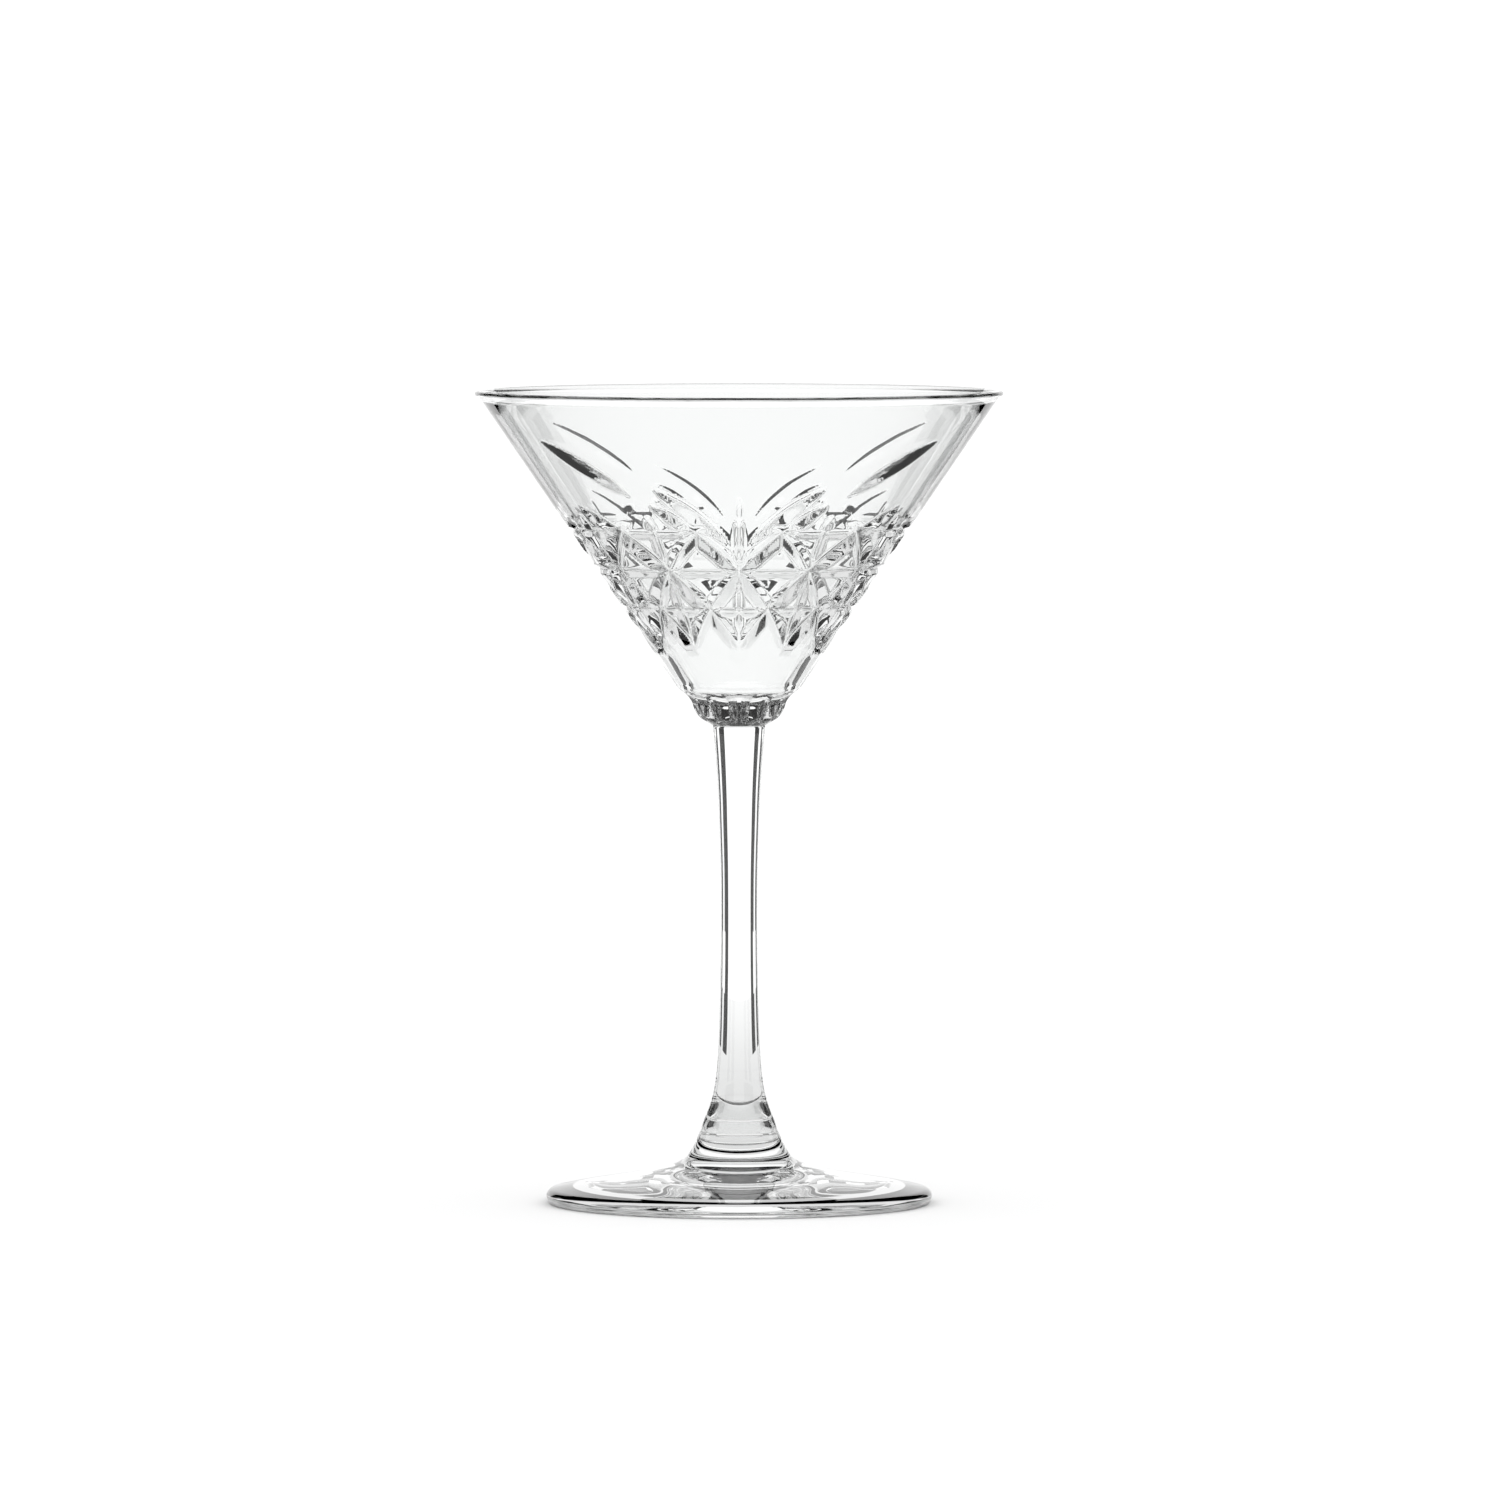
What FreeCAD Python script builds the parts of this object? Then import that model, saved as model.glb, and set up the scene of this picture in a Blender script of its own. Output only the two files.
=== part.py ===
import FreeCAD, Part

import math
import os

from FreeCAD import Vector

# A stemmed martini glass in clear pressed glass, in millimetres.
# The origin is the centre of the foot's underside, and +Z is up the axis of the stem.
# Three gathers of glass make it: the bowl, the stem and the foot. Each ends in a flat face
# that lies against the next one, where the hot pieces are fused.

# Overall shape, heights above the table
TOTAL_HEIGHT = 172.0
RIM_RADIUS = 55.8
WALL_HALF_ANGLE = 34.3
RIM_THICKNESS = 1.2
WALL_THICKNESS_LOW = 3.0
BOWL_FLOOR_Z = 108.9
BOWL_FLOOR_RADIUS = 8.2
CORNER_RISE = 2.4
CORNER_SAG = Vector(0.35, 0, -0.55)

# The short base under the cone, which the stem is fused to: radius and height up its outline
STEM_TOP_RADIUS = 5.55
BOWL_JOINT_Z = 101.2
BASE_OUTLINE = ((7.4, 102.3), (8.5, 103.2), (9.5, 104.8), (10.0, 106.3), (10.8, 107.4))
BASE_TOP_Z = 109.2

# The stem: radius and height at the places between its two joints where its outline changes
STEM_OUTLINE = (
    (5.1, 95.9), (4.55, 87.4), (4.25, 79.0), (4.0, 70.5), (3.93, 60.0),
    (4.05, 46.8), (4.5, 32.5), (5.1, 25.8), (6.1, 21.2), (7.5, 17.6),
)
FOOT_JOINT_Z = 15.0
STEM_FOOT_RADIUS = 8.4

# The foot: radius and height down its upper side, from the joint to the edge
FOOT_OUTLINE = (
    (9.2, 13.1), (10.1, 11.4), (11.1, 10.0), (13.0, 8.7), (17.0, 7.4), (22.0, 6.3), (29.0, 5.1), (35.0, 4.1),
)
FOOT_RADIUS = 40.8
FOOT_EDGE_THICKNESS = 3.2
FOOT_EDGE_LEAN = 10.0
REST_RING_WIDTH = 5.0
HOLLOW_HEIGHT = 1.8
DIMPLE_DEPTH = 0.8
DIMPLE_RADIUS = 7.8
DIMPLE_EDGE_RADIUS = 9.0

# The cut pattern on the outside of the bowl
COLUMNS = 12
HALF_PITCH = 180.0 / COLUMNS
ROW_PITCH = 8.22
LOWEST_ROW_Z = 117.9
DIAMOND_ROWS = 3
DIAMOND_DEPTH = 1.3
DIAMOND_HALF_ANGLE = 58.2
LINE_DEPTH = 0.75
LINE_HALF_ANGLE = 54.5
WINGS_GAP = 13.0
CUTTER_HEIGHT = 3.0
RING_CUTTER_HEIGHT = 2.0

# The flutes round the base: radius and height of the keel's two ends
FLUTE_LOW = (7.3, 101.4)
FLUTE_HIGH = (9.2, 107.2)
FLUTE_HALF_ANGLE = 60.0

# The long leaf cuts of each wing: angle and height at the tip and at the root, depth, half angle
LEAVES = (
    ((26.0, 153.0), (3.6, 140.4), 0.1, 68.0),
    ((58.2, 162.5), (32.5, 150.6), 0.0, 70.0),
    ((28.0, 149.2), (13.5, 141.6), 0.4, 66.0),
    ((58.0, 148.6), (36.0, 137.8), 0.1, 68.0),
)
LEAF_OVERRUN = 2.5

WALL_SLOPE = math.tan(math.radians(WALL_HALF_ANGLE))


def outer_radius(z):
    """Radius of the bowl's outer cone at height z."""
    return RIM_RADIUS - WALL_SLOPE * (TOTAL_HEIGHT - z)


def row_z(row):
    """Height of one row of pattern points, counted up from the lowest."""
    return LOWEST_ROW_Z + ROW_PITCH * row


def point(radius, z):
    """A point of a section, in the XZ plane."""
    return Vector(radius, 0, z)


def line(a, b):
    return Part.LineSegment(a, b).toShape()


def arc(a, middle, b):
    return Part.Arc(a, middle, b).toShape()


def curve(points, start_slope, end_slope):
    """One smooth curve through the points of a section, leaving and arriving along the slopes."""
    spline = Part.BSplineCurve()
    spline.interpolate(Points=points, InitialTangent=start_slope, FinalTangent=end_slope)
    return spline.toShape()


def revolve(edges, sweep=360):
    """The solid that a closed section in the XZ plane sweeps round the axis."""
    face = Part.Face(Part.Wire(edges))
    return face.revolve(Vector(0, 0, 0), Vector(0, 0, 1), sweep)


def wall_normal(angle):
    """Outward normal of the outer cone at an angle round the axis, in degrees."""
    a = math.radians(angle)
    tilt = math.radians(WALL_HALF_ANGLE)
    return Vector(math.sin(a) * math.cos(tilt), -math.cos(a) * math.cos(tilt), -math.sin(tilt))


def wall_point(angle, z, depth=0.0):
    """A point on the outer cone, or at a depth under it. Angle 0 faces the front, -Y."""
    a = math.radians(angle)
    r = outer_radius(z)
    surface = Vector(r * math.sin(a), -r * math.cos(a), z)
    return surface - wall_normal(angle) * depth


def v_prism(start, end, outward, half_angle):
    """A straight V-shaped bar with its keel from start to end, open towards outward."""
    across = (end - start).normalize().cross(outward)
    rise = outward * CUTTER_HEIGHT
    side = across * (CUTTER_HEIGHT * math.tan(math.radians(half_angle)))
    section = Part.makePolygon([start, start + rise + side, start + rise - side, start])
    return Part.Face(section).extrude(end - start)


def v_cut(start, end, depth, half_angle, overrun=0.0):
    """A straight V-shaped cutter whose keel runs at a depth between two places on the cone."""
    a = wall_point(start[0], start[1], depth)
    b = wall_point(end[0], end[1], depth)
    along = (b - a).normalize()
    a = a - along * overrun
    b = b + along * overrun
    outward = wall_normal((start[0] + end[0]) / 2)
    outward = (outward - along * outward.dot(along)).normalize()
    return v_prism(a, b, outward, half_angle)


def ring_cut(z, depth, half_angle, sweep=360):
    """A V-shaped cutter that runs level round the cone, from the side that +X is on."""
    tilt = math.radians(WALL_HALF_ANGLE)
    outward = Vector(math.cos(tilt), 0, -math.sin(tilt))
    up_wall = Vector(math.sin(tilt), 0, math.cos(tilt))
    rise = outward * RING_CUTTER_HEIGHT
    side = up_wall * (RING_CUTTER_HEIGHT * math.tan(math.radians(half_angle)))
    keel = point(outer_radius(z), z) - outward * depth
    upper = keel + rise + side
    lower = keel + rise - side
    return revolve([line(keel, upper), line(upper, lower), line(lower, keel)], sweep)


def diamond_cuts():
    """Crossing diagonal cuts, from each pattern point to its neighbours one row up."""
    cuts = []
    for row in range(DIAMOND_ROWS):
        for column in range(COLUMNS):
            low = HALF_PITCH * (2 * column + row % 2)
            for turn in (-HALF_PITCH, HALF_PITCH):
                start = (low, row_z(row))
                end = (low + turn, row_z(row + 1))
                cuts.append(v_cut(start, end, DIAMOND_DEPTH, DIAMOND_HALF_ANGLE))
    return cuts


def star_lines():
    """Fine level rings and upright lines that cross the diamonds; the top ring stops at the wings."""
    cuts = [ring_cut(row_z(row), LINE_DEPTH, LINE_HALF_ANGLE) for row in range(1, DIAMOND_ROWS)]
    for front in (0, 180):
        top_ring = ring_cut(row_z(DIAMOND_ROWS), LINE_DEPTH, LINE_HALF_ANGLE, 180 - 2 * WINGS_GAP)
        top_ring.rotate(Vector(0, 0, 0), Vector(0, 0, 1), front + WINGS_GAP - 90)
        cuts.append(top_ring)
    for column in range(COLUMNS):
        angle = 2 * HALF_PITCH * column
        cuts.append(v_cut((angle, row_z(0)), (angle, row_z(2)), LINE_DEPTH, LINE_HALF_ANGLE))
    return cuts


def leaf_cuts():
    """Long pointed cuts that fan out from the front and from the back like two pairs of wings."""
    cuts = []
    for front in (0, 180):
        for side in (-1, 1):
            for tip, root, depth, half_angle in LEAVES:
                start = (front + side * tip[0], tip[1])
                end = (front + side * root[0], root[1])
                cuts.append(v_cut(start, end, depth, half_angle, overrun=LEAF_OVERRUN))
    return cuts


def flute_cuts():
    """Short upright cuts round the base of the bowl."""
    cuts = []
    for index in range(COLUMNS):
        angle = math.radians(2 * HALF_PITCH * index + HALF_PITCH)
        radial = Vector(math.sin(angle), -math.cos(angle), 0)
        low = radial * FLUTE_LOW[0] + Vector(0, 0, FLUTE_LOW[1])
        high = radial * FLUTE_HIGH[0] + Vector(0, 0, FLUTE_HIGH[1])
        along = (high - low).normalize()
        outward = (radial - along * radial.dot(along)).normalize()
        cuts.append(v_prism(low, high, outward, FLUTE_HALF_ANGLE))
    return cuts


def bowl_blank():
    """The bowl before cutting: a conical cup with a rounded rim, a thick floor and a short base."""
    tilt = math.radians(WALL_HALF_ANGLE)
    half = RIM_THICKNESS / 2
    across = Vector(math.cos(tilt), 0, -math.sin(tilt))
    up_wall = Vector(math.sin(tilt), 0, math.cos(tilt))
    rim_centre = point(RIM_RADIUS - half, TOTAL_HEIGHT - half)
    rim_out = rim_centre + across * half
    rim_in = rim_centre - across * half
    cone_foot = point(outer_radius(BASE_TOP_Z), BASE_TOP_Z)
    joint_out = point(STEM_TOP_RADIUS, BOWL_JOINT_Z)
    joint_mid = point(0, BOWL_JOINT_Z)
    floor_mid = point(0, BOWL_FLOOR_Z)
    floor_edge = point(BOWL_FLOOR_RADIUS, BOWL_FLOOR_Z)
    corner_z = BOWL_FLOOR_Z + CORNER_RISE
    inner_low = point(outer_radius(corner_z) - WALL_THICKNESS_LOW / math.cos(tilt), corner_z)
    corner_mid = (floor_edge + inner_low) * 0.5 + CORNER_SAG
    base = [joint_out] + [point(*place) for place in BASE_OUTLINE] + [cone_foot]
    return revolve(
        [
            line(joint_mid, joint_out),
            curve(base, Vector(1, 0, 0.4), up_wall),
            line(cone_foot, rim_out),
            arc(rim_out, rim_centre + up_wall * half, rim_in),
            line(rim_in, inner_low),
            arc(inner_low, corner_mid, floor_edge),
            line(floor_edge, floor_mid),
            line(floor_mid, joint_mid),
        ]
    )


def make_bowl():
    bowl = bowl_blank()
    for cuts in (diamond_cuts(), star_lines(), leaf_cuts(), flute_cuts()):
        bowl = bowl.cut(cuts)
        print(len(cuts), "cuts", round(bowl.Volume), bowl.isValid(), len(bowl.Solids))
    return max(bowl.removeSplitter().Solids, key=lambda solid: solid.Volume)


def make_stem():
    """A solid stem that narrows to a waist and flares into the foot."""
    top = point(STEM_TOP_RADIUS, BOWL_JOINT_Z)
    low = point(STEM_FOOT_RADIUS, FOOT_JOINT_Z)
    outline = [top] + [point(*place) for place in STEM_OUTLINE] + [low]
    side = curve(outline, Vector(-0.08, 0, -1), Vector(0.4, 0, -1))
    bottom = point(0, FOOT_JOINT_Z)
    head = point(0, BOWL_JOINT_Z)
    return revolve([line(head, top), side, line(low, bottom), line(bottom, head)])


def make_foot():
    """A round foot that runs out to a rounded edge, with a shallow hollow and a dimple under it."""
    half = FOOT_EDGE_THICKNESS / 2
    lean = math.radians(FOOT_EDGE_LEAN)
    top = point(STEM_FOOT_RADIUS, FOOT_JOINT_Z)
    edge_centre = point(FOOT_RADIUS - half, half)
    edge_top = edge_centre + Vector(math.sin(lean), 0, math.cos(lean)) * half
    edge_low = point(FOOT_RADIUS - half, 0)
    outline = [top] + [point(*place) for place in FOOT_OUTLINE] + [edge_top]
    upper = curve(outline, Vector(0.4, 0, -1), Vector(math.cos(lean), 0, -math.sin(lean)))
    edge = arc(edge_top, edge_centre + Vector(half, 0, 0), edge_low)
    ring_in = point(FOOT_RADIUS - half - REST_RING_WIDTH, 0)
    hollow_edge = point(DIMPLE_EDGE_RADIUS, HOLLOW_HEIGHT)
    dimple_edge = point(DIMPLE_RADIUS, HOLLOW_HEIGHT + DIMPLE_DEPTH)
    dimple_mid = point(0, HOLLOW_HEIGHT + DIMPLE_DEPTH)
    hollow = curve([ring_in, (ring_in + hollow_edge) * 0.5, hollow_edge], Vector(-1, 0, 0), Vector(-1, 0, 0))
    head = point(0, FOOT_JOINT_Z)
    dimple_side = [hollow_edge, (hollow_edge + dimple_edge) * 0.5, dimple_edge]
    step = curve(dimple_side, Vector(-1, 0, 0), Vector(-1, 0, 0))
    under = [line(edge_low, ring_in), hollow, step, line(dimple_edge, dimple_mid)]
    return revolve([line(head, top), upper, edge] + under + [line(dimple_mid, head)])


def main():
    os.makedirs("parts", exist_ok=True)
    pieces = {"bowl": make_bowl(), "stem": make_stem(), "foot": make_foot()}
    for name, shape in pieces.items():
        print(name, shape.ShapeType, shape.isValid(), round(shape.Volume), shape.BoundBox)
        shape.exportStep(os.path.join("parts", name + ".step"))


main()
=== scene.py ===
import math

import bpy
import numpy as np
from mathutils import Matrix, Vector


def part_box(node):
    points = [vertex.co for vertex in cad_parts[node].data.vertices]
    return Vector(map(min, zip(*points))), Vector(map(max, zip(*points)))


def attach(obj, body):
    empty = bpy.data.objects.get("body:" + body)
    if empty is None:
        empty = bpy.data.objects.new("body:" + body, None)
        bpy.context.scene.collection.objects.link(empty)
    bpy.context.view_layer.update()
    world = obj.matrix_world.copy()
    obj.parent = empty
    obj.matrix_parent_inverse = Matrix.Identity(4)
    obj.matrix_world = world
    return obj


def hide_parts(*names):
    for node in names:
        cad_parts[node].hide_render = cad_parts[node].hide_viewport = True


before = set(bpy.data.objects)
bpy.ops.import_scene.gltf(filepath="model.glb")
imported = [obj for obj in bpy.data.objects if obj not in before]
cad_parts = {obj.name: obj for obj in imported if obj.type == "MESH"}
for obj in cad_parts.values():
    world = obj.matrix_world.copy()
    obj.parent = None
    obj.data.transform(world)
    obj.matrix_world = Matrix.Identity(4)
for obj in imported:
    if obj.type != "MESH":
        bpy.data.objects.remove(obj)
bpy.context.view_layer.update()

# A stemmed martini glass in clear pressed glass. Everything is in metres, +Z up, front at -Y.
MM = 0.001

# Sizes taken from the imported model
STEM_LOW, STEM_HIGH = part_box("stem")
FOOT_LOW, FOOT_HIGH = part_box("foot")
BOWL_LOW, BOWL_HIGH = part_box("bowl")
TOTAL_HEIGHT = BOWL_HIGH[2]
RIM_RADIUS = BOWL_HIGH[0]
BOWL_JOINT_Z = STEM_HIGH[2]
FOOT_JOINT_Z = STEM_LOW[2]
FOOT_RADIUS = FOOT_HIGH[0]

# The bowl's wall
WALL_TILT = math.radians(34.3)
WALL_SLOPE = math.tan(WALL_TILT)
RIM_THICKNESS = 1.2 * MM
WALL_LOW = 3.0 * MM
FLOOR_Z = 108.9 * MM
FLOOR_RADIUS = 8.2 * MM
CORNER_RISE = 2.4 * MM

# The short base under the cone: radius and height up its outline, from the stem to the cone
BASE_OUTLINE = ((5.55, 101.2), (7.4, 102.3), (8.5, 103.2), (9.5, 104.8), (10.0, 106.3), (10.8, 107.4))
BASE_TOP_Z = 109.2 * MM
FLUTE_DEPTH = 1.3 * MM
FLUTE_HALF_WIDTH = 2.0 * MM
FLUTE_RADIUS = 9.3 * MM

# The cut pattern
HALF_PITCH = math.radians(15.0)
ROW_PITCH = 8.22 * MM
LOWEST_ROW_Z = 117.9 * MM
DIAMOND_DEPTH = 1.3 * MM
DIAMOND_HALF_WIDTH = 2.1 * MM
LINE_DEPTH = 0.75 * MM
LINE_HALF_WIDTH = 1.05 * MM

# The leaf cuts of one wing: angle and height of tip and root, depth, width
LEAVES = (
    (26.0, 153.0, 3.6, 140.4, 0.95, 4.0),
    (58.2, 162.5, 32.5, 150.6, 1.00, 4.2),
    (28.0, 149.2, 13.5, 141.6, 0.85, 3.6),
    (58.0, 148.6, 36.0, 137.8, 0.90, 3.6),
)
LEAF_KEEL = 0.45

# The plain band between the top of the cuts and the rim
CUTS_TOP_Z = 164.5 * MM
PLAIN_BAND_Z = 165.2 * MM

# How finely the surfaces are divided
COLUMNS_PER_HALF_PITCH = 20
ROWS_PER_PITCH = 20
BASE_SAMPLES = 34
PLAIN_ROWS = 5
RIM_ROWS = 9
WALL_ROWS = 14
CORNER_SAMPLES = 7


def smoothstep(low, high, x):
    t = np.clip((x - low) / (high - low), 0.0, 1.0)
    return t * t * (3 - 2 * t)


def outer_radius(z):
    """Radius of the bowl's outer cone at height z."""
    return RIM_RADIUS - WALL_SLOPE * (TOTAL_HEIGHT - z)


def v_groove(distance, depth, half_width):
    """Depth of a V-shaped cut at a distance from its keel."""
    return depth * np.clip(1 - distance / half_width, 0, 1)


def nearest_even(u):
    """Distance of u from the nearest even whole number."""
    return np.abs((u + 1) % 2 - 1)


def from_wings(angle):
    """Angle from the nearer of the front and the back, where the wings meet."""
    return np.abs((angle + math.pi / 2) % math.pi - math.pi / 2)


def diamond_depth(angle, z):
    """Crossing diagonal cuts that leave diamonds between them."""
    k = angle / HALF_PITCH
    j = (z - LOWEST_ROW_Z) / ROW_PITCH
    radius = outer_radius(z)
    per_metre = np.sqrt((1 / (radius * HALF_PITCH)) ** 2 + (math.cos(WALL_TILT) / ROW_PITCH) ** 2)
    falling = nearest_even(k + j) / per_metre
    rising = nearest_even(k - j) / per_metre
    keel = DIAMOND_DEPTH * smoothstep(-0.25, 0.35, j) * (1 - smoothstep(3.0, 3.35, j))
    return np.maximum(v_groove(falling, keel, DIAMOND_HALF_WIDTH), v_groove(rising, keel, DIAMOND_HALF_WIDTH))


def star_depth(angle, z):
    """Level rings and upright lines through the diamonds' corners."""
    j = (z - LOWEST_ROW_Z) / ROW_PITCH
    level = np.abs(j - np.round(j)) * ROW_PITCH / math.cos(WALL_TILT)
    upright = nearest_even(angle / HALF_PITCH) * HALF_PITCH * outer_radius(z)
    between_wings = 1 - smoothstep(math.radians(10), math.radians(15), from_wings(angle))
    ring_share = smoothstep(0.5, 0.9, j) * (1 - smoothstep(3.1, 3.3, j))
    ring_share = ring_share * (1 - between_wings * smoothstep(2.4, 2.6, j))
    line_share = smoothstep(-0.1, 0.4, j) * (1 - smoothstep(3.15, 3.5, j))
    rings = v_groove(level, LINE_DEPTH * ring_share, LINE_HALF_WIDTH)
    lines = v_groove(upright, LINE_DEPTH * line_share, LINE_HALF_WIDTH)
    return np.maximum(rings, lines)


def leaf_depth(angle, z, leaf):
    """One long pointed cut, steep on its upper side, on the wing to one side of the front."""
    tip_angle, tip_z, root_angle, root_z, depth, width = leaf
    mid_angle = math.radians((tip_angle + root_angle) / 2)
    mid_z = (tip_z + root_z) / 2 * MM
    radius = outer_radius(mid_z)
    along_x = math.radians(tip_angle - root_angle) / 2 * radius
    along_y = (tip_z - root_z) / 2 * MM / math.cos(WALL_TILT)
    length = math.hypot(along_x, along_y)
    x = (angle - mid_angle) * radius
    y = (z - mid_z) / math.cos(WALL_TILT)
    along = (x * along_x + y * along_y) / length**2
    aside = (y * along_x - x * along_y) / length
    room = np.clip(1 - along * along, 0, 1)
    across = aside / (width / 2 * MM * room + 1e-9)
    steep = np.clip((1 - across) / (1 - LEAF_KEEL), 0, 1)
    gentle = np.clip((1 + across) / (1 + LEAF_KEEL), 0, 1)
    return depth * MM * room * np.minimum(steep, gentle)


def wing_depth(angle, z):
    """The leaf cuts of all four wings: a pair at the front and a pair at the back."""
    depth = np.zeros_like(angle)
    for leaf in LEAVES:
        depth = np.maximum(depth, leaf_depth(from_wings(angle), z, leaf))
    return depth


def flute_depth(angle, z):
    """Short upright V-shaped flutes round the base of the bowl."""
    aside = nearest_even(angle / HALF_PITCH + 1) * HALF_PITCH * FLUTE_RADIUS
    share = smoothstep(101.8 * MM, 103.4 * MM, z) * (1 - smoothstep(106.2 * MM, 108.4 * MM, z))
    return v_groove(aside, FLUTE_DEPTH * share, FLUTE_HALF_WIDTH)


def cut_depth(angle, z):
    """How far all the cuts together go into the outside of the bowl."""
    pattern = np.maximum(diamond_depth(angle, z), star_depth(angle, z))
    return np.maximum(pattern, wing_depth(angle, z)) + flute_depth(angle, z)


def ring(radius, z, angles):
    """One row of points; radius and z may be one number or one for each angle. Angle 0 faces -Y."""
    radius = np.broadcast_to(radius, angles.shape)
    z = np.broadcast_to(z, angles.shape)
    return np.stack([radius * np.sin(angles), -radius * np.cos(angles), z], 1)


def even_angles(columns):
    """Angles of evenly spaced columns, once round the axis."""
    return np.arange(columns) * (2 * math.pi / columns)


def spline(points, count):
    """A smooth curve through the points of an outline, as count samples of (radius, z)."""
    points = np.array(points, float)
    steps = np.hypot(*np.diff(points, axis=0).T)
    at = np.concatenate([[0], np.cumsum(np.sqrt(steps))])
    slopes = np.gradient(points, at, axis=0)
    samples = []
    for t in np.linspace(0, at[-1], count):
        i = min(np.searchsorted(at, t, side="right") - 1, len(points) - 2)
        span = at[i + 1] - at[i]
        s = (t - at[i]) / span
        start = (1 + 2 * s) * (1 - s) ** 2 * points[i] + s * (1 - s) ** 2 * span * slopes[i]
        end = s * s * (3 - 2 * s) * points[i + 1] + s * s * (s - 1) * span * slopes[i + 1]
        samples.append(start + end)
    return np.array(samples)


def ring_quads(row_count, columns):
    """The quads between rows of points that each close round the axis."""
    here = np.arange(columns)
    after = (here + 1) % columns
    quads = []
    for row in range(row_count - 1):
        low = row * columns
        high = low + columns
        quads.append(np.stack([low + here, low + after, high + after, high + here], 1))
    return np.concatenate(quads)


def split_along_cuts(vertices, quads):
    """Two triangles for each quad, divided along whichever diagonal lies deeper in the glass."""
    radius = np.hypot(vertices[:, 0], vertices[:, 1])
    first = radius[quads[:, 0]] + radius[quads[:, 2]]
    second = radius[quads[:, 1]] + radius[quads[:, 3]]
    deeper = (first <= second)[:, None]
    one = np.where(deeper, quads[:, [0, 1, 2]], quads[:, [0, 1, 3]])
    two = np.where(deeper, quads[:, [0, 2, 3]], quads[:, [1, 2, 3]])
    return np.concatenate([one, two])


def make_mesh(name, vertices, faces, materials):
    """A smooth-shaded object with the given faces."""
    mesh = bpy.data.meshes.new(name)
    mesh.from_pydata(vertices.tolist(), [], faces)
    mesh.polygons.foreach_set("use_smooth", [True] * len(mesh.polygons))
    for material in materials:
        mesh.materials.append(material)
    mesh.update()
    piece = bpy.data.objects.new(name, mesh)
    bpy.context.scene.collection.objects.link(piece)
    return piece


def close_ends(faces, row_count, columns):
    """Flat faces over the first and the last row of points."""
    first = list(range(columns))[::-1]
    last = list(range((row_count - 1) * columns, row_count * columns))
    return faces + [first, last]


def base_rows(angles):
    """Rows of the short fluted base, from the stem's joint up to the cone."""
    outline = [(r * MM, z * MM) for r, z in BASE_OUTLINE]
    outline.append((outer_radius(BASE_TOP_Z), BASE_TOP_Z))
    rows = []
    for radius, z in spline(outline, BASE_SAMPLES)[:-1]:
        rows.append(ring(radius - flute_depth(angles, z), z, angles))
    return rows


def cut_rows(angles):
    """Rows of the outside of the cone, close enough for the cut pattern, then the plain band."""
    step = ROW_PITCH / ROWS_PER_PITCH
    first = math.ceil((BASE_TOP_Z - LOWEST_ROW_Z) / step)
    last = math.floor((CUTS_TOP_Z - LOWEST_ROW_Z) / step)
    heights = [LOWEST_ROW_Z + index * step for index in range(first, last + 1)]
    heights += list(np.linspace(PLAIN_BAND_Z, TOTAL_HEIGHT - RIM_THICKNESS, PLAIN_ROWS))
    rows = []
    for z in heights:
        level = np.full(len(angles), z)
        depth = cut_depth(angles, level)
        radius = outer_radius(z) - depth * math.cos(WALL_TILT)
        rows.append(ring(radius, level + depth * math.sin(WALL_TILT), angles))
    return rows


def rim_and_inside_rows(angles):
    """Rows over the rounded rim, down the smooth inner wall and across the floor."""
    half = RIM_THICKNESS / 2
    centre_r = RIM_RADIUS - half
    centre_z = TOTAL_HEIGHT - half
    rows = []
    for turn in np.linspace(-WALL_TILT, math.pi - WALL_TILT, RIM_ROWS):
        rows.append(ring(centre_r + half * math.cos(turn), centre_z + half * math.sin(turn), angles))
    start = np.array([centre_r - half * math.cos(WALL_TILT), centre_z + half * math.sin(WALL_TILT)])
    corner_z = FLOOR_Z + CORNER_RISE
    corner_r = outer_radius(corner_z) - WALL_LOW / math.cos(WALL_TILT)
    end = np.array([corner_r, corner_z])
    for share in np.linspace(0, 1, WALL_ROWS)[1:]:
        radius, z = start + (end - start) * share
        rows.append(ring(radius, z, angles))
    halfway = (FLOOR_RADIUS + 0.6 * (corner_r - FLOOR_RADIUS), FLOOR_Z + 0.35 * CORNER_RISE)
    corner = [(corner_r, corner_z), halfway, (FLOOR_RADIUS, FLOOR_Z)]
    for radius, z in spline(corner, CORNER_SAMPLES)[1:]:
        rows.append(ring(radius, z, angles))
    rows.append(ring(FLOOR_RADIUS / 2, FLOOR_Z, angles))
    return rows


def glass_bowl(materials):
    """The bowl as one closed surface, with the stem's joint on its lower face."""
    angles = even_angles(24 * COLUMNS_PER_HALF_PITCH)
    outside = base_rows(angles) + cut_rows(angles)
    rows = outside + rim_and_inside_rows(angles)
    vertices = np.concatenate(rows)
    quads = ring_quads(len(rows), len(angles))
    cut_quads = (len(outside) - 1) * len(angles)
    faces = split_along_cuts(vertices, quads[:cut_quads]).tolist() + quads[cut_quads:].tolist()
    piece = make_mesh("glass_bowl", vertices, close_ends(faces, len(rows), len(angles)), materials)
    piece.data.polygons[len(faces)].material_index = 1
    return piece


def lathe(name, outline, materials, joint_first, joint_last, columns=160):
    """A closed solid of revolution; the outline runs upwards outside. Its ends may be joints."""
    angles = even_angles(columns)
    rows = [ring(radius, z, angles) for radius, z in outline]
    faces = ring_quads(len(rows), columns).tolist()
    piece = make_mesh(name, np.concatenate(rows), close_ends(faces, len(rows), columns), materials)
    piece.data.polygons[len(faces)].material_index = int(joint_first)
    piece.data.polygons[len(faces) + 1].material_index = int(joint_last)
    return piece


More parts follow.
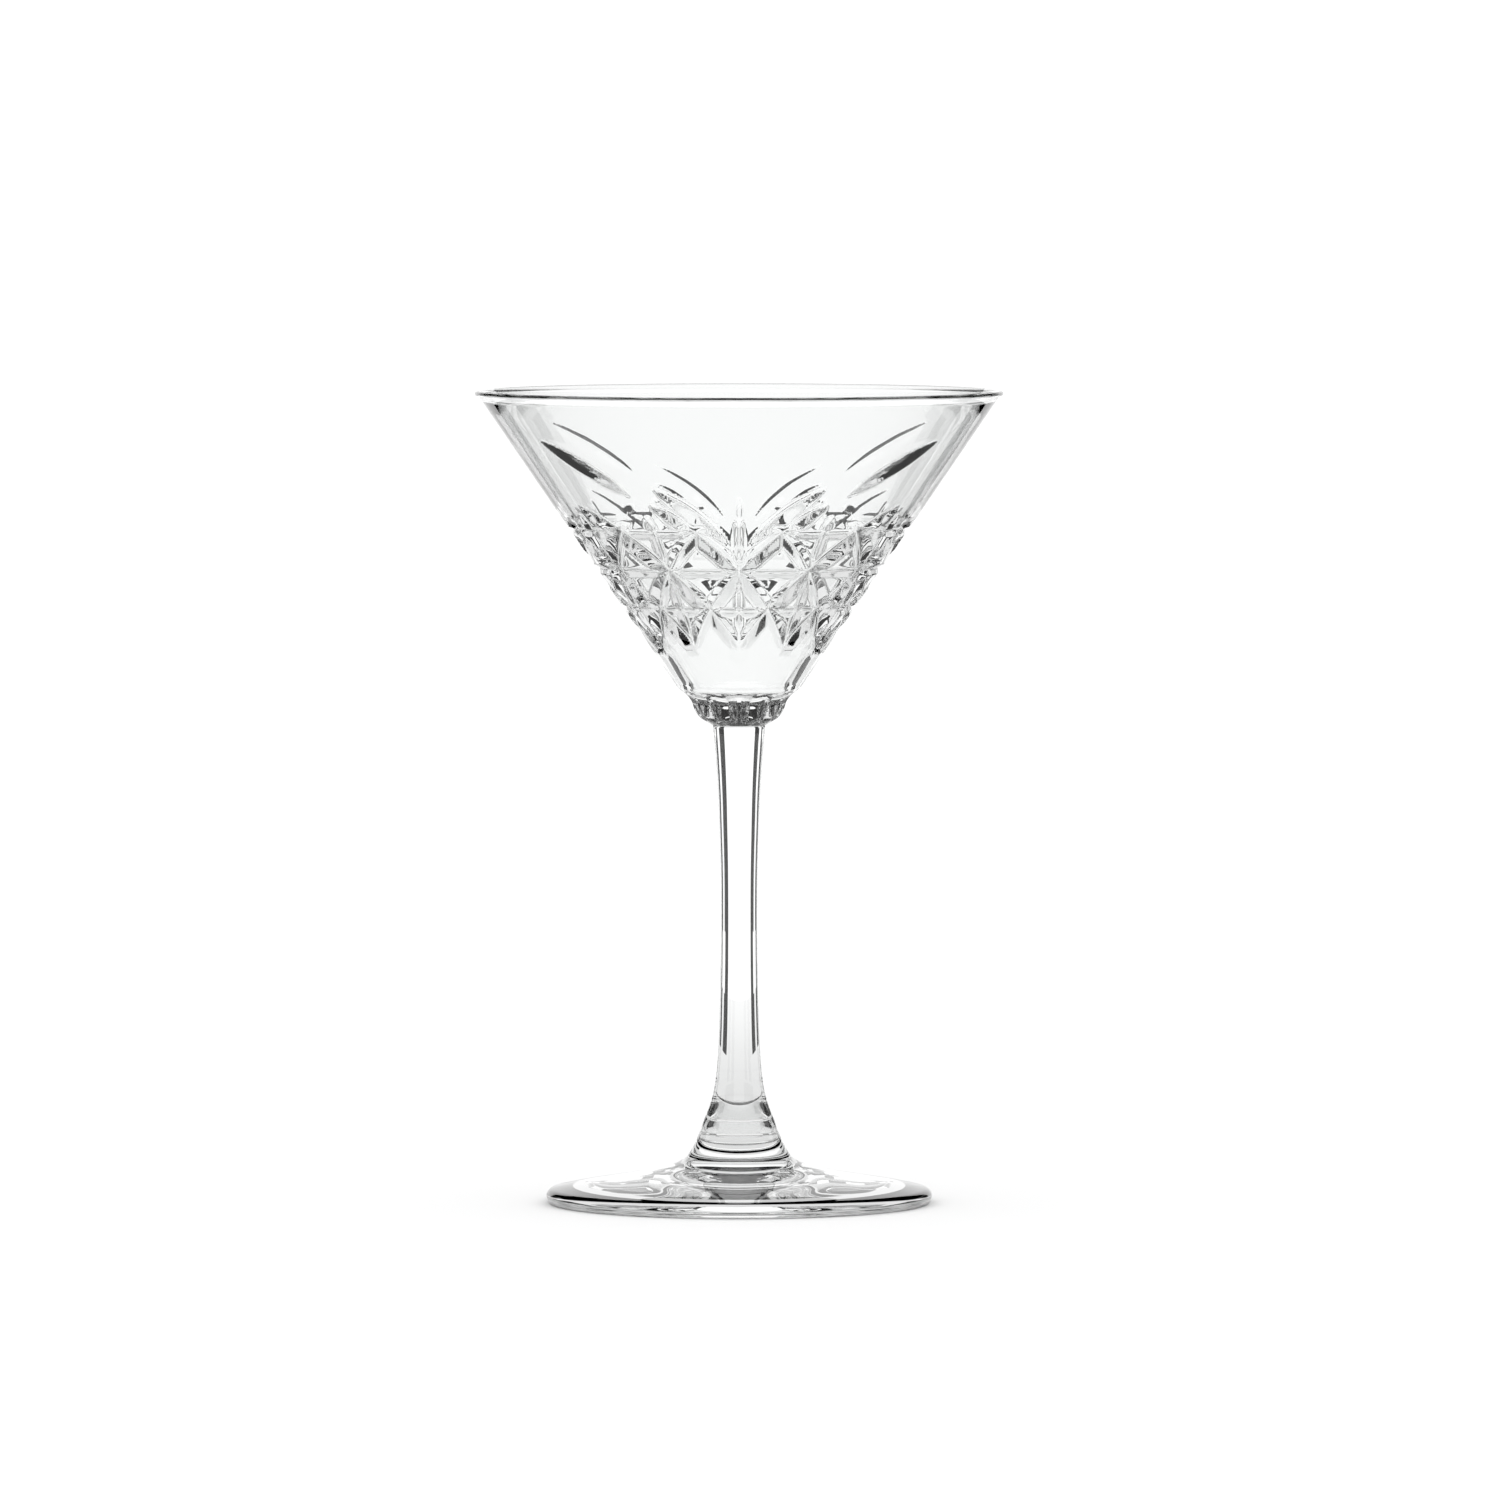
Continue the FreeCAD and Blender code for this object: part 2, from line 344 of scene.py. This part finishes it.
STEM_OUTLINE = (
    (8.4, 15.0), (7.5, 17.6), (6.1, 21.2), (5.1, 25.8), (4.5, 32.5), (4.05, 46.8), (3.93, 60.0),
    (4.0, 70.5), (4.25, 79.0), (4.55, 87.4), (5.1, 95.9), (5.55, 101.2),
)
FOOT_TOP_OUTLINE = (
    (8.4, 15.0), (9.2, 13.1), (10.1, 11.4), (11.1, 10.0), (13.0, 8.7), (17.0, 7.4), (22.0, 6.3),
    (29.0, 5.1), (35.0, 4.1),
)
FOOT_EDGE = 3.2 * MM
REST_RING_WIDTH = 5.0 * MM
HOLLOW_HEIGHT = 1.8 * MM
DIMPLE_DEPTH = 0.8 * MM
DIMPLE_RADIUS = 7.8 * MM
DIMPLE_EDGE_RADIUS = 9.0 * MM


def glass_stem(materials):
    """The stem, with a joint at each end."""
    outline = [(r * MM, z * MM) for r, z in STEM_OUTLINE]
    outline[0] = (outline[0][0], FOOT_JOINT_Z)
    outline[-1] = (outline[-1][0], BOWL_JOINT_Z)
    return lathe("glass_stem", spline(outline, 130), materials, True, True)


def glass_foot(materials):
    """The foot, from its hollow underside round the edge and up to the stem's joint."""
    half = FOOT_EDGE / 2
    inner = FOOT_RADIUS - half - REST_RING_WIDTH
    hollow = [(radius, HOLLOW_HEIGHT + DIMPLE_DEPTH) for radius in (0.4 * MM, DIMPLE_RADIUS / 2)]
    for share in np.linspace(0, 1, 9)[:-1]:
        radius = DIMPLE_RADIUS + (DIMPLE_EDGE_RADIUS - DIMPLE_RADIUS) * share
        hollow.append((radius, HOLLOW_HEIGHT + DIMPLE_DEPTH * math.cos(share * math.pi / 2) ** 2))
    for share in np.linspace(0, 1, 32)[:-1]:
        radius = DIMPLE_EDGE_RADIUS + (inner - DIMPLE_EDGE_RADIUS) * share
        hollow.append((radius, HOLLOW_HEIGHT * math.cos(share * math.pi / 2) ** 2))
    edge = []
    for turn in np.linspace(-math.pi / 2, math.pi / 2 - 0.17, 16):
        edge.append((FOOT_RADIUS - half + half * math.cos(turn), half + half * math.sin(turn)))
    top = [(r * MM, z * MM) for r, z in FOOT_TOP_OUTLINE]
    top[0] = (top[0][0], FOOT_JOINT_Z)
    top.append((edge[-1][0], edge[-1][1]))
    upward = spline(top, 90)[::-1][1:]
    outline = hollow + [(inner, 0.0)] + edge + [tuple(p) for p in upward]
    return lathe("glass_foot", outline, materials, False, True)


def add_noise(nodes, links, place, scale, detail):
    """Noise in the object's own coordinates; scale is in features per metre."""
    noise = nodes.new("ShaderNodeTexNoise")
    noise.inputs["Scale"].default_value = scale
    noise.inputs["Detail"].default_value = detail
    links.new(place.outputs["Object"], noise.inputs["Vector"])
    return noise


def add_range(nodes, links, source, low, high):
    """Spreads noise between two values."""
    spread = nodes.new("ShaderNodeMapRange")
    spread.inputs["From Min"].default_value = 0.3
    spread.inputs["From Max"].default_value = 0.7
    spread.inputs["To Min"].default_value = low
    spread.inputs["To Max"].default_value = high
    links.new(source.outputs["Fac"], spread.inputs["Value"])
    return spread


def glass_material():
    """Clear pressed glass: almost colourless, with the faint ripple and haze that a mould leaves."""
    material = bpy.data.materials.new("clear_pressed_glass")
    material.use_nodes = True
    nodes = material.node_tree.nodes
    links = material.node_tree.links
    shader = nodes["Principled BSDF"]
    shader.inputs["Transmission Weight"].default_value = 1.0
    shader.inputs["IOR"].default_value = 1.52
    place = nodes.new("ShaderNodeTexCoord")

    tint = nodes.new("ShaderNodeMixRGB")
    tint.inputs["Color1"].default_value = (0.975, 0.985, 0.982, 1)
    tint.inputs["Color2"].default_value = (0.992, 0.996, 0.994, 1)
    links.new(add_noise(nodes, links, place, 45, 2).outputs["Fac"], tint.inputs["Fac"])
    links.new(tint.outputs["Color"], shader.inputs["Base Color"])

    haze = add_range(nodes, links, add_noise(nodes, links, place, 160, 3), 0.0, 0.012)
    links.new(haze.outputs["Result"], shader.inputs["Roughness"])

    ripple = nodes.new("ShaderNodeBump")
    ripple.inputs["Strength"].default_value = 0.35
    ripple.inputs["Distance"].default_value = 0.05 * MM
    links.new(add_noise(nodes, links, place, 110, 1).outputs["Fac"], ripple.inputs["Height"])
    links.new(ripple.outputs["Normal"], shader.inputs["Normal"])
    return material


def joint_material():
    """The fused faces between two gathers: the glass runs on through them."""
    material = bpy.data.materials.new("fused_joint")
    material.use_nodes = True
    nodes = material.node_tree.nodes
    nodes.clear()
    clear = nodes.new("ShaderNodeBsdfTransparent")
    out = nodes.new("ShaderNodeOutputMaterial")
    material.node_tree.links.new(clear.outputs[0], out.inputs[0])
    return material


glass_and_joint = (glass_material(), joint_material())

bowl = glass_bowl(glass_and_joint)
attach(bowl, "root")
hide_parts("bowl")

stem = glass_stem(glass_and_joint)
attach(stem, "root")
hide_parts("stem")

foot = glass_foot(glass_and_joint)
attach(foot, "root")
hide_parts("foot")

# Camera: a long lens, a little above the rim
DISTANCE = 3.0
EYE_HEIGHT = 0.256
AIM_HEIGHT = 0.0960
AIM_X = 0.0023
FIELD_WIDTH = 0.3170
SENSOR_WIDTH = 36.0
camera_data = bpy.data.cameras.new("camera")
camera = bpy.data.objects.new("camera", camera_data)
bpy.context.scene.collection.objects.link(camera)
bpy.context.scene.camera = camera
camera.location = (AIM_X, -DISTANCE, EYE_HEIGHT)
aim = Vector((AIM_X, 0, AIM_HEIGHT)) - camera.location
camera.rotation_mode = "QUATERNION"
camera.rotation_quaternion = aim.to_track_quat("-Z", "Y")
camera_data.sensor_width = SENSOR_WIDTH
camera_data.lens = SENSOR_WIDTH * aim.length / FIELD_WIDTH
camera_data.clip_start = 0.05
camera_data.clip_end = 60


def white_room(strength):
    """An even white light from all round."""
    world = bpy.data.worlds.new("white_room")
    bpy.context.scene.world = world
    world.use_nodes = True
    world.node_tree.nodes["Background"].inputs["Color"].default_value = (1, 1, 1, 1)
    world.node_tree.nodes["Background"].inputs["Strength"].default_value = strength


def pale_floor(size):
    """A plain matt floor, nearly white."""
    material = bpy.data.materials.new("pale_floor")
    material.use_nodes = True
    shader = material.node_tree.nodes["Principled BSDF"]
    shader.inputs["Base Color"].default_value = (0.95, 0.95, 0.95, 1)
    shader.inputs["Roughness"].default_value = 0.6
    shader.inputs["Specular IOR Level"].default_value = 0.0
    half = size / 2
    corners = np.array([(-half, -half, 0), (half, -half, 0), (half, half, 0), (-half, half, 0)])
    make_mesh("floor", corners, [(0, 1, 2, 3)], [material])


def card_material(name, brightness):
    """A flat even tone, from 0 for black to 1 for white."""
    material = bpy.data.materials.new(name)
    material.use_nodes = True
    nodes = material.node_tree.nodes
    nodes.clear()
    light = nodes.new("ShaderNodeEmission")
    light.inputs["Color"].default_value = (brightness, brightness, brightness, 1)
    out = nodes.new("ShaderNodeOutputMaterial")
    material.node_tree.links.new(light.outputs[0], out.inputs[0])
    return material


def floor_glow_material(shades, reach):
    """Painted light on the floor: a glow whose brightness changes with distance from the middle; shades are
    (distance, brightness) pairs.
    """
    material = card_material("floor_light_glow", 1.0)
    nodes = material.node_tree.nodes
    links = material.node_tree.links
    place = nodes.new("ShaderNodeTexCoord")
    distance = nodes.new("ShaderNodeVectorMath")
    distance.operation = "LENGTH"
    links.new(place.outputs["Object"], distance.inputs[0])
    share = nodes.new("ShaderNodeMath")
    share.operation = "DIVIDE"
    share.inputs[1].default_value = reach
    links.new(distance.outputs["Value"], share.inputs[0])
    ramp = nodes.new("ShaderNodeValToRGB")
    stops = ramp.color_ramp.elements
    while len(stops) < len(shades):
        stops.new(0.5)
    for stop, (radius, brightness) in zip(stops, shades):
        stop.position = radius / reach
        stop.color = (brightness, brightness, brightness, 1)
    links.new(share.outputs["Value"], ramp.inputs["Fac"])
    links.new(ramp.outputs["Color"], nodes["Emission"].inputs["Color"])
    return material


def set_card(name, vertices, faces, material):
    """A card that stays put in the room and that only the glass sees."""
    card = make_mesh(name, vertices, faces, [material])
    card.visible_camera = False
    card.visible_diffuse = False
    card.visible_shadow = False


def four_sided(name, low_radius, low_z, high_radius, high_z, bearings, material, steps=12):
    """Curved cards between two bearings, repeated on all four sides of the glass."""
    for quarter in range(4):
        for index, (start, end) in enumerate(bearings):
            angles = np.radians(np.linspace(start, end, steps + 1)) + quarter * math.pi / 2
            vertices = np.concatenate([ring(low_radius, low_z, angles), ring(high_radius, high_z, angles)])
            faces = [(i, i + 1, i + steps + 2, i + steps + 1) for i in range(steps)]
            set_card(f"{name}_{quarter}_{index}", vertices, faces, material)


def floor_light_glow(name, inner, outer, material):
    """A round glowing sheet just over the floor, from an inner to an outer radius, that paints light on the
    floor for the glass to see.
    """
    angles = even_angles(96)
    rows = [ring(radius, 0.03 * MM, angles) for radius in (inner, outer)]
    set_card(name, np.concatenate(rows), ring_quads(len(rows), len(angles)).tolist(), material)


def height_at(radius, elevation):
    """Height of a place seen from the middle of the glass at an elevation in degrees."""
    return TOTAL_HEIGHT / 2 + radius * math.tan(math.radians(elevation))


# Where the cards stand: bearings in degrees from each side, radii and heights in metres
ALL_ROUND = ((0, 90),)
CORNERS = ((24, 66),)
BESIDE = ((28, 40.5), (49.5, 64))
WELL_BESIDE = ((28, 37), (53, 64))
CARD_FOOT_Z = 0.001
NEAR_CARD_RADIUS = 0.20
FAR_CARD_RADIUS = 0.44
LOW_CARD_RADIUS = 0.80
LOW_CARD_HEIGHT = 0.17
RING_RADIUS = 1.2
CORNER_LOW = height_at(RING_RADIUS, 9)
RING_LOW = height_at(RING_RADIUS, 22)
RING_HIGH = height_at(RING_RADIUS, 55)
TOP_HOLE_Z = height_at(RING_RADIUS, 74)
TOP_HOLE_RADIUS = 0.002

# The painted floor light: a glowing sheet in two pieces that only the glass sees, standing in under the foot
# for the light that comes through the glass, and round it grey near the glass and white further out; the
# floor under the rest ring stays bare
FLOOR_GLOW_REACH = 0.45
FLOOR_GLOW_SHADES = ((0.0, 0.80), (0.06, 0.78), (0.20, 0.85), (0.44, 1.0))
FLOOR_GLOW_MIDDLE = 0.0001
BARE_FROM = 0.0345
BARE_TO = 0.0415

white_room(1.15)
pale_floor(30.0)
black = card_material("black_card", 0.0)
four_sided("near_card", NEAR_CARD_RADIUS, CARD_FOOT_Z, FAR_CARD_RADIUS, CARD_FOOT_Z, BESIDE, black)
four_sided("far_card", FAR_CARD_RADIUS, CARD_FOOT_Z, LOW_CARD_RADIUS, CARD_FOOT_Z, WELL_BESIDE, black)
four_sided("low_card", LOW_CARD_RADIUS, CARD_FOOT_Z, LOW_CARD_RADIUS, LOW_CARD_HEIGHT, BESIDE, black)
four_sided("corner_card", RING_RADIUS, CORNER_LOW, RING_RADIUS, RING_LOW, CORNERS, black)
four_sided("ring_card", RING_RADIUS, RING_LOW, RING_RADIUS, RING_HIGH, ALL_ROUND, black)
four_sided("top_card", RING_RADIUS, RING_HIGH, TOP_HOLE_RADIUS, TOP_HOLE_Z, ALL_ROUND, black)
# Painted light on the floor, seen only through the glass: a glow under the foot and round it, greyer near the
# glass
floor_glow = floor_glow_material(FLOOR_GLOW_SHADES, FLOOR_GLOW_REACH)
floor_light_glow("glow_under_foot", FLOOR_GLOW_MIDDLE, BARE_FROM, floor_glow)
floor_light_glow("glow_round_foot", BARE_TO, FLOOR_GLOW_REACH, floor_glow)

bpy.context.scene.view_settings.view_transform = "Standard"
bpy.context.scene.cycles.max_bounces = 24
bpy.context.scene.cycles.transmission_bounces = 24
bpy.context.scene.cycles.glossy_bounces = 12
bpy.context.scene.cycles.transparent_max_bounces = 24
